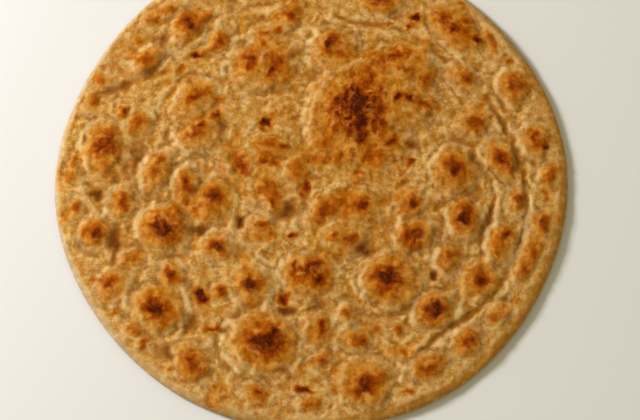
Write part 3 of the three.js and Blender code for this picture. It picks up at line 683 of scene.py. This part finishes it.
def raise_blister(geometry, mark):
    """Keeps how far the dough has risen, how far it sank and how near a blister's foot is."""
    tree = geometry.tree
    risen, sunk, foot = parts(named(tree, "risen_sunk_foot", VECTOR))
    outside = (mark["Reach"] - 1) * mark["Size"]
    steps_out = ((outside - EDGE_OUT) / EDGE_WIDTH).below(MOST_STEPS_OUT)
    edge = (1 + steps_out.math("EXPONENT")) ** -1.0
    crown = 1 - (1 - EDGE_SHARE) * mark["Reach"].below(1.0) ** 2
    dome = mark["Strength"] * edge * crown
    moat = mark["Strength"] * MOAT_SHARE * (outside - MOAT_OUT).bump(MOAT_WIDTH)
    risen = larger_with_share(risen, dome, BLISTER_OVERLAP)
    together = vector(tree, risen, sunk.above(moat), foot.below(outside))
    return stored(geometry, "risen_sunk_foot", together, VECTOR)


def press_hollow(geometry, mark):
    hollow = named(geometry.tree, "hollow")
    pressed = larger_with_share(hollow, faded(mark, *HOLLOW_FADE), HOLLOW_OVERLAP)
    return stored(geometry, "hollow", pressed)


def brown_spot(geometry, mark):
    """Keeps how far each place is browned, and its place within the spot that browned it most."""
    tree = geometry.tree
    toast = named(tree, "toast")
    facing = 1 - (named(tree, "under") - mark["Under"]).math("ABSOLUTE")
    browned = faded(mark, *SPOT_FADE) * facing
    wins = browned.math("GREATER_THAN", toast)
    place = vector(tree, mark["Along"], mark["Across"], mark["Size"])
    kept = mixed(wins, named(tree, "spot", VECTOR), place, "Vector")
    geometry = stored(geometry, "spot", kept, VECTOR)
    return stored(geometry, "toast", larger_with_share(toast, browned, SPOT_OVERLAP))


def stray(plan, size, width):
    """A smooth push to any side, by how far apart its swings lie and how wide they are."""
    way = shift(noise(plan, size, 1, name="Color"), (0.5, 0.5, 0.5), "SUBTRACT")
    return scaled(way, width)


def near_lines(plan, curves):
    """How far off the nearest line is, and its strength, which is uneven along its run."""
    tree = plan.tree
    kept = stored(curves, "strength", out(add(tree, "GeometryNodeInputRadius")))
    lines = out(add(tree, "GeometryNodeCurveToMesh", {"Curve": kept}))
    where = {"Sample Position": shift(plan, stray(plan, *LINE_STRAY))}
    near_line = add(tree, "GeometryNodeProximity", {0: lines, **where}, target_element="EDGES")
    nearest = add(tree, "GeometryNodeSampleNearest", {"Geometry": lines, **where})
    strength = sampled(lines, named(tree, "strength"), out(nearest))
    return out(near_line, "Distance"), strength * noise(plan, 8, 1).ramp(0.3, 0.55, 1.15, 0.4)


def with_skin(top, plan, foot, heights):
    """The top face's height with the skin's own relief added, from its wrinkles to its grain."""
    tree = top.tree
    x, y, _ = parts(plan)
    radius = (x * x + y * y).math("SQRT")

    def drawn_out(along, width):
        """A place whose noise is long round the bread near its rim, and as wide as is given."""
        stretch = 18 * (radius + 62) ** -1.0
        return vector(tree, x * stretch * along, y * stretch * along, radius / width)

    # Wrinkles: ridges that run round the bread near its rim and every way at its middle.
    off_ridge = noise(drawn_out(0.8, 5.5), 1.0, 1, 0.4).sway(1).math("ABSOLUTE")
    wrinkles = (1 - off_ridge * 5).above(0.0)
    wrinkles = wrinkles * noise(plan, 14, 1).ramp(0.42, 0.6, 1.0, 0.2)

    # Arcs and furrows round the feet of the blisters, broken up by noise.
    broken = noise(plan, 7, 2)
    arc = (foot - ARC_OUT - broken.sway(3)).bump(ARC_WIDTH) * noise(plan, 8, 1).ramp(0.42, 0.58)
    furrow = FURROW_SHARE * (foot - FURROW_OUT).bump(FURROW_WIDTH) * broken.ramp(0.4, 0.6)

    # Flakes: the skin stands in thin torn layers at the middle of the bread.
    layers = noise(plan, 9, 3, 0.6) * 9
    within = layers.math("FRACT")
    stairs = layers - within + within.ramp(0.3, 0.7)
    boldness = radius.ramp(15, 65, 0.15, 1.0)

    # Pebbles: small swellings shoulder to shoulder, drawn out along the rim.
    pebble = {"Vector": drawn_out(1.2, 4.2), "Scale": 1.0, "Smoothness": 0.5}
    cells = add(tree, "ShaderNodeTexVoronoi", pebble, feature="SMOOTH_F1")
    pebbles = 0.45 - out(cells, "Distance")

    off_blisters = foot.ramp(-3.5, -0.5, 1.0, 0.4)
    return (
        top
        + wrinkles * heights["Wrinkle height"]
        + (arc - furrow) * heights["Arc height"]
        + (stairs - layers) * boldness * heights["Flake height"]
        + pebbles * heights["Pebble height"] * off_blisters
        + noise(plan, 9, 1).sway(heights["Hill height"]) * off_blisters
        + noise(plan, 3.4, 1).sway(heights["Lump height"])
        + noise(plan, 1.7, 2).sway(heights["Grain height"])
    )


def dough_tree():
    """Raises the rolled disc: blisters, folds and flaky skin on top, griddle marks beneath."""
    objects = ("Blisters", "Hollows", "Spots", "Folds", "Ridges")
    inputs = {
        "Geometry": "Geometry",
        **dict.fromkeys(objects, "Object"),
        "Material": "Material",
        **dict.fromkeys(HEIGHTS, "Float"),
    }
    tree, wires, result = new_tree("Dough on the griddle", inputs, {"Geometry": "Geometry"})
    shapes = {
        label: out(add(tree, "GeometryNodeObjectInfo", {"Object": wires[label]}), "Geometry")
        for label in objects
    }
    x, y, z = parts(out(add(tree, "GeometryNodeInputPosition")))
    plan = vector(tree, x, y)

    # Marks stray a little from true ovals, spots more than blisters.
    strayed = shift(plan, shift(stray(plan, *WIDE_STRAY), stray(plan, *NARROW_STRAY)))
    geometry = stored(wires["Geometry"], "strayed", strayed, VECTOR)
    geometry = stored(geometry, "risen_sunk_foot", (0.0, 0.0, FAR_OFF), VECTOR)
    geometry = over_all_marks(geometry, shapes["Blisters"], len(BLISTERS), raise_blister)
    geometry = stored(geometry, "hollow", 0.0)
    geometry = over_all_marks(geometry, shapes["Hollows"], len(HOLLOWS), press_hollow)
    strayed = shift(strayed, stray(plan, *SPOT_STRAY))
    geometry = stored(geometry, "strayed", strayed, VECTOR)
    geometry = stored(geometry, "spot", NO_SPOT, VECTOR)
    geometry = stored(geometry, "toast", 0.0)
    spot_count = len(SPOTS) + UNDERSIDE_SPOTS
    geometry = over_all_marks(geometry, shapes["Spots"], spot_count, brown_spot)

    from_fold, depth = near_lines(plan, shapes["Folds"])
    groove = from_fold.bump(GROOVE_WIDTH)
    lip = LIP_SHARE * (from_fold - LIP_OUT).bump(LIP_WIDTH)
    from_ridge, ridge_rise = near_lines(plan, shapes["Ridges"])
    ridge = wires["Ridge height"] * ridge_rise * from_ridge.bump(RIDGE_WIDTH)
    geometry = stored(geometry, "in_ridge", ridge)
    geometry = stored(geometry, "in_fold", depth * groove)

    risen, sunk, foot = parts(named(tree, "risen_sunk_foot", VECTOR))
    hollow, toast, lift = named(tree, "hollow"), named(tree, "toast"), named(tree, "lift")
    swell = noise(plan, 38, 0).sway(wires["Swell height"])
    top = wires["Dough"] + swell + risen - sunk - hollow * wires["Hollow depth"]
    top = with_skin(top + depth * (lip - groove) + ridge, plan, foot, wires)
    spot = named(tree, "spot", VECTOR)
    _, _, spot_size = parts(spot)
    crust = spot_streaks(spot).sway(spot_size.ramp(3, 8, 0.25, 0.1)) + 0.15
    top = top + toast.ramp(0.1, 0.5) * crust

    # The rim keeps a smoother skin. The underside is flat, with shallow hollows off its spots.
    over = z + lift * (top - RIM_WIDEST)
    off_griddle = noise(plan, 6, 2).ramp(0.35, 0.65) * 0.5 + 0.15
    beneath = toast.ramp(0.5, 0.1) * off_griddle * z.ramp(0.6, 0.0)
    uneven = noise(plan, 16, 1) + noise(plan, 5, 2) * 0.6 - 0.8
    outline = uneven * (1 - lift) * lift.ramp(-0.1, 0.3)
    placed = vector(tree, x, y, over + beneath * named(tree, "under"))
    placed = shift(placed, scaled(plan, outline * 0.01))
    moved = {"Geometry": geometry, "Position": placed}
    geometry = out(add(tree, "GeometryNodeSetPosition", moved))

    # How far each place now stands above the dough close round it, and farther round it. The
    # finish paints highlight on what stands proud and shade on what lies low.
    for name, steps in (("proud", NEAR_STEPS), ("standing", FAR_STEPS)):
        level_inputs = {"Value": z, "Iterations": steps}
        level = add(tree, "GeometryNodeBlurAttribute", level_inputs, data_type="FLOAT")
        geometry = stored(geometry, name, z - out(level))
    geometry = stored(geometry, "foot", foot)

    geometry = out(add(tree, "GeometryNodeSetShadeSmooth", {"Geometry": geometry}))
    geometry = out(add(tree, "GeometryNodeRealizeInstances", {"Geometry": geometry}))
    dressed = {"Geometry": geometry, "Material": wires["Material"]}
    feed(tree, result.inputs["Geometry"], out(add(tree, "GeometryNodeSetMaterial", dressed)))
    return tree


def grow(base, tree, values):
    """The plain mesh that a tree makes of an object, its inputs set by their labels."""
    modifier = base.modifiers.new("dough", "NODES")
    modifier.node_group = tree
    for item in tree.interface.items_tree:
        if item.in_out == "INPUT" and item.name in values:
            modifier[item.identifier] = values[item.name]
    bpy.context.view_layer.update()
    evaluated = base.evaluated_get(bpy.context.evaluated_depsgraph_get())
    mesh = bpy.data.meshes.new_from_object(evaluated)
    base.modifiers.remove(modifier)
    bpy.data.objects.remove(base)
    return mesh


# -------- finishes

def colour(red, green, blue):
    """A colour from its 0 to 255 display values."""
    def linear(value):
        value /= 255
        return value / 12.92 if value <= 0.04045 else ((value + 0.055) / 1.055) ** 2.4

    return (linear(red), linear(green), linear(blue), 1.0)


DOUGH_PINK = colour(202, 160, 104)
DOUGH_YELLOW = colour(192, 150, 78)
DOUGH_DEEP = colour(176, 118, 32)
DOUGH_GOLD = colour(182, 120, 24)
DOUGH_AMBER = colour(158, 94, 12)
# Painted shade laid in the dough's valleys, folds and low places.
VALLEY_SHADE = colour(146, 92, 20)
# Pale cream: the dough's own paler tone where noise lays it, and painted highlight on proud
# places, blister flanks and ridges.
DOUGH_CREAM_AND_HIGHLIGHT = colour(222, 202, 162)
# Painted shade in the deepest hollows.
DEEP_HOLLOW_SHADE = colour(104, 58, 8)
# Multiplied in: painted shade in the hollows, and the crust's real dark flecks.
SHADE_AND_FLECK_TINT = colour(206, 172, 118)
ASH = colour(146, 86, 40)
# Painted highlight on crust that stands proud.
CRUST_HIGHLIGHT = colour(206, 138, 62)
FLECK = colour(220, 172, 96)
# The rim's skin: paler as painted light at the far left, browner and in painted shade at the near
# right.
RIM_PALE_AND_LIT = colour(185, 174, 152)
RIM_BROWN_AND_SHADE = colour(184, 132, 54)
# Browning, from golden to charred: how far browned, then the colour.
BROWNING = [
    (0.12, colour(192, 136, 44)),
    (0.3, colour(182, 114, 20)),
    (0.48, colour(166, 90, 8)),
    (0.66, colour(142, 66, 4)),
    (0.84, colour(112, 46, 4)),
    (1.0, colour(84, 32, 6)),
]


def attribute(tree, name, kind="Fac"):
    return out(add(tree, "ShaderNodeAttribute", attribute_name=name), kind)


def browning_colour(browned):
    """The colour of a crust by how far it is browned."""
    crust = add(browned.tree, "ShaderNodeValToRGB", [browned])
    stops = crust.color_ramp.elements
    for index, (amount, shade) in enumerate(BROWNING):
        stop = stops[index] if index < 2 else stops.new(amount)
        stop.position = amount
        stop.color = shade
    return out(crust, "Color")


def baked_dough():
    """The finish of the whole bread: plain dough, its rim and the browned crust of its spots."""
    material = bpy.data.materials.new("baked_dough")
    material.use_nodes = True
    tree = material.node_tree
    tree.nodes.clear()
    shader = add(tree, "ShaderNodeBsdfPrincipled", {
        "Specular IOR Level": 0.05,
        "Subsurface Weight": 0.25,
        "Subsurface Radius": (1.0, 0.4, 0.1),
        "Subsurface Scale": 1.6 * MM,
    })
    add(tree, "ShaderNodeOutputMaterial", {"Surface": out(shader)})

    kept = ("toast", "proud", "standing", "foot", "in_fold", "in_ridge", "hollow", "lift")
    toast, proud, standing, foot, in_fold, in_ridge, hollow, lift = (
        attribute(tree, name) for name in kept
    )
    spot = attribute(tree, "spot", "Vector")
    streak = spot_streaks(spot)

    place = out(add(tree, "ShaderNodeTexCoord"), "Object")
    patch = noise(place, 20 * MM, 2)
    hue = noise(place, 8 * MM, 3)
    fleck = noise(place, 4.2 * MM, 2, 0.5, distortion=0.3)
    mottle = noise(place, 3.2 * MM, 3, 0.6)
    edge = noise(place, 2.6 * MM, 3, 0.65)
    fine = noise(place, 1.5 * MM, 3, 0.6, distortion=1.2)
    speck = noise(place, 0.55 * MM, 2, 0.6)

    # Plain dough: golden on the blisters; pale on its ridges and blister flanks as painted
    # highlight, deeper in its valleys, folds and hollows as painted shade.
    uneven_proud = proud + fine.sway(0.12)
    # Painted highlight: a pale band round each blister's foot stands in for its lit flank.
    flank = (foot - 0.6 + hue.sway(2)).bump(1.1) * edge.ramp(0.35, 0.6, 0.3)
    gilt = (toast + patch.sway(0.2) + edge.sway(0.3)).ramp(0, 0.16)
    crown = (foot + hue.sway(2)).ramp(0.4, -1.8, 0.9) * gilt.ramp(0, 1.0, 1.0, 0.6)
    gold = mixed((mottle + edge * 0.5).ramp(0.6, 0.85), DOUGH_AMBER, DOUGH_GOLD)
    uneven_hollow = hollow + fine.sway(0.8) + mottle.sway(1.4)
    dough = coated(
        mixed(hue.ramp(0.4, 0.62), DOUGH_PINK, DOUGH_YELLOW),
        (patch.ramp(0.4, 0.7, 0.5), DOUGH_DEEP),
        (fine.ramp(0.56, 0.36, 0.75), DOUGH_DEEP),
        (fine.ramp(0.54, 0.66, 0.3), DOUGH_CREAM_AND_HIGHLIGHT),
        # Painted shade where the dough lies below the dough farther round it.
        ((standing + hue.sway(0.5)).ramp(0, -0.7, 0.6), VALLEY_SHADE),
        (mottle.ramp(0.5, 0.34, 0.5), DOUGH_DEEP),
        (mottle.ramp(0.52, 0.68, 0.4), DOUGH_CREAM_AND_HIGHLIGHT),
        # Painted shade where the dough lies below the dough close round it.
        (uneven_proud.ramp(0, -0.4, 0.5), VALLEY_SHADE),
        # Painted highlight on the blister flanks, then on what stands proud.
        (flank, DOUGH_CREAM_AND_HIGHLIGHT),
        (uneven_proud.ramp(0, 0.4, 0.5), DOUGH_CREAM_AND_HIGHLIGHT),
        (crown * (mottle + edge).ramp(0.8, 1.15, 0.45, 0.95), gold),
        # Painted shade in the folds.
        (in_fold.ramp(0.08, 0.45, 0.6), VALLEY_SHADE),
    )
    # Painted shade: the hollows are darkened by multiplying, and their deepest parts turn olive.
    dough = mixed(uneven_hollow.ramp(0.1, 0.9, 0.8), dough, SHADE_AND_FLECK_TINT, blend="MULTIPLY")
    dough = coated(
        dough,
        (uneven_hollow.ramp(0.7, 1.4, 0.9), DEEP_HOLLOW_SHADE),
        # The listed ridges are painted pale, partly as their own paler skin and partly as painted
        # highlight.
        ((in_ridge + fine.sway(0.25)).ramp(0.06, 0.4, 0.45), DOUGH_CREAM_AND_HIGHLIGHT),
    )

    # The rim: pale at the far left and browner at the near right, painted light and painted shade
    # laid over its own toasted skin.
    x, y, z = parts(place)
    # Painted light and shade: the rim grows darker toward the near right, away from the key
    # light.
    toward_rim_shade = x * math.cos(RIM_SLOPE_AT) + y * math.sin(RIM_SLOPE_AT)
    rim_skin_and_shade = coated(
        mixed(toward_rim_shade.ramp(-90 * MM, 100 * MM), RIM_PALE_AND_LIT, RIM_BROWN_AND_SHADE),
        (hue.ramp(0.4, 0.65, 0.15), DOUGH_DEEP),
        (fine.ramp(0.56, 0.36, 0.25), DOUGH_DEEP),
        (mottle.ramp(0.5, 0.65, 0.3), DOUGH_CREAM_AND_HIGHLIGHT),
    )
    off_griddle = z.ramp(0.3 * MM, 1.4 * MM)
    dough = mixed(lift.ramp(1.0, 0.88, 0.85) * off_griddle, dough, rim_skin_and_shade)

    # Crust: browned by the spots and a little by chance, more where the skin stands proud.
    smudge = noise(place, 12 * MM, 2).ramp(0.5, 0.8, 0.34) * lift
    pressed = (proud * 0.25).below(0.1).above(-0.12) * toast.ramp(0.1, 0.5)
    toast = toast + smudge * (1 - toast.below(1.0)) + pressed
    _, _, spot_size = parts(spot)
    great = spot_size.ramp(12, 16)
    streaky = spot_size.ramp(3, 8, 0.42, 0.08) + great * 0.3
    uneven = edge.sway(0.4) + mottle.sway(0.7) + hue.sway(0.5) + speck.sway(0.15)
    browned = toast * (1 + streak.sway(streaky)) + streak.sway(great * 0.2)
    browned = browned + uneven * toast.ramp(0.02, 0.3)
    in_spot = toast.ramp(0.05, 0.2)
    skin = coated(
        dough,
        (browned.ramp(0.02, 0.36), browning_colour(browned)),
        # Painted highlight: the crust is paler where it stands proud.
        ((proud + edge.sway(0.3)).ramp(0.15, 0.45, 0.25), CRUST_HIGHLIGHT),
        (fleck.ramp(0.5, 0.68, 0.45) * in_spot * toast.ramp(0.8, 0.4), FLECK),
    )
    dark_fleck = fleck.ramp(0.48, 0.32, 0.6) * in_spot
    skin = mixed(dark_fleck, skin, SHADE_AND_FLECK_TINT, blend="MULTIPLY")
    skin = coated(skin, (fine.ramp(0.54, 0.66, 0.6) * toast.ramp(0.7, 0.95), ASH))
    feed(tree, shader.inputs["Base Color"], skin)

    oily = noise(place, 6 * MM, 3).ramp(0.45, 0.65)
    feed(tree, shader.inputs["Roughness"], 0.54 - 0.12 * oily + toast.ramp(0.2, 0.7, 0.25))

    height = fine.sway(1) + speck.sway(0.5) + edge.sway(0.5)
    relief = {"Strength": 0.8, "Distance": 0.2 * MM, "Height": height}
    feed(tree, shader.inputs["Normal"], out(add(tree, "ShaderNodeBump", relief)))
    return material


# -------- the bread

def bread():
    helpers = {
        "Blisters": marks_object("blister_marks", BLISTERS),
        "Hollows": marks_object("hollow_marks", HOLLOWS),
        "Spots": marks_object("spot_marks", SPOTS, underside_spots()),
        "Folds": lines_object("fold_lines", CREASES),
        "Ridges": lines_object("ridge_lines", RIDGES),
    }
    values = {**helpers, "Material": baked_dough(), **HEIGHTS}
    mark_reach_group()
    mesh = grow(rolled_disc(), dough_tree(), values)
    for helper in helpers.values():
        bpy.data.objects.remove(helper)

    def middle(axis):
        places = [vertex.co[axis] for vertex in mesh.vertices]
        return (min(places) + max(places)) / 2

    mesh.transform(Matrix.Scale(MM, 4) @ Matrix.Translation((-middle(0), -middle(1), 0)))
    mesh.name = "blistered_bread"
    piece = new_object("blistered_bread", mesh)
    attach(piece, "root")
    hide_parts("paratha")


# -------- floor, light and camera

def pale_floor():
    material = bpy.data.materials.new("pale_floor")
    material.use_nodes = True
    shader = material.node_tree.nodes["Principled BSDF"]
    shader.inputs["Base Color"].default_value = colour(220, 219, 232)
    shader.inputs["Roughness"].default_value = 0.8
    half = FLOOR_WIDTH / 2
    corners = [(-half, -half, 0), (half, -half, 0), (half, half, 0), (-half, half, 0)]
    mesh = bpy.data.meshes.new("floor")
    mesh.from_pydata(corners, [], [(0, 1, 2, 3)])
    mesh.materials.append(material)
    floor = new_object("floor", mesh)


def stand_off(thing, azimuth, elevation, distance, target=Vector((0, 0, 0))):
    """Puts a thing off from its target and faces it there: degrees round from near, and up."""
    turn, up = math.radians(azimuth), math.radians(elevation)
    flat = math.cos(up)
    away = Vector((math.sin(turn) * flat, -math.cos(turn) * flat, math.sin(up)))
    thing.location = target + away * distance
    thing.rotation_euler = away.to_track_quat("Z", "Y").to_euler()


def studio():
    world = bpy.data.worlds.new("studio")
    world.use_nodes = True
    background = world.node_tree.nodes["Background"]
    background.inputs["Color"].default_value = (1, 0.94, 0.56, 1)
    background.inputs["Strength"].default_value = 0.5
    world.cycles_visibility.glossy = False
    bpy.context.scene.world = world
    key = bpy.data.lights.new("key", "AREA")
    key.size = 0.3
    key.energy = 11.1
    key.color = (1, 0.99, 0.95)
    stand_off(new_object("key", key), azimuth=-112, elevation=37, distance=1.1)
    view = bpy.context.scene.view_settings
    view.view_transform = "Standard"
    view.gamma = 0.85
    view.exposure = 0.13


def camera():
    data = bpy.data.cameras.new("camera")
    data.lens = 104.04
    data.sensor_width = 36
    eye = new_object("camera", data)
    stand_off(eye, azimuth=0, elevation=76, distance=0.8, target=Vector((3.7, -11.84, 0)) * MM)
    bpy.context.scene.camera = eye


camera()
bread()
pale_floor()
studio()
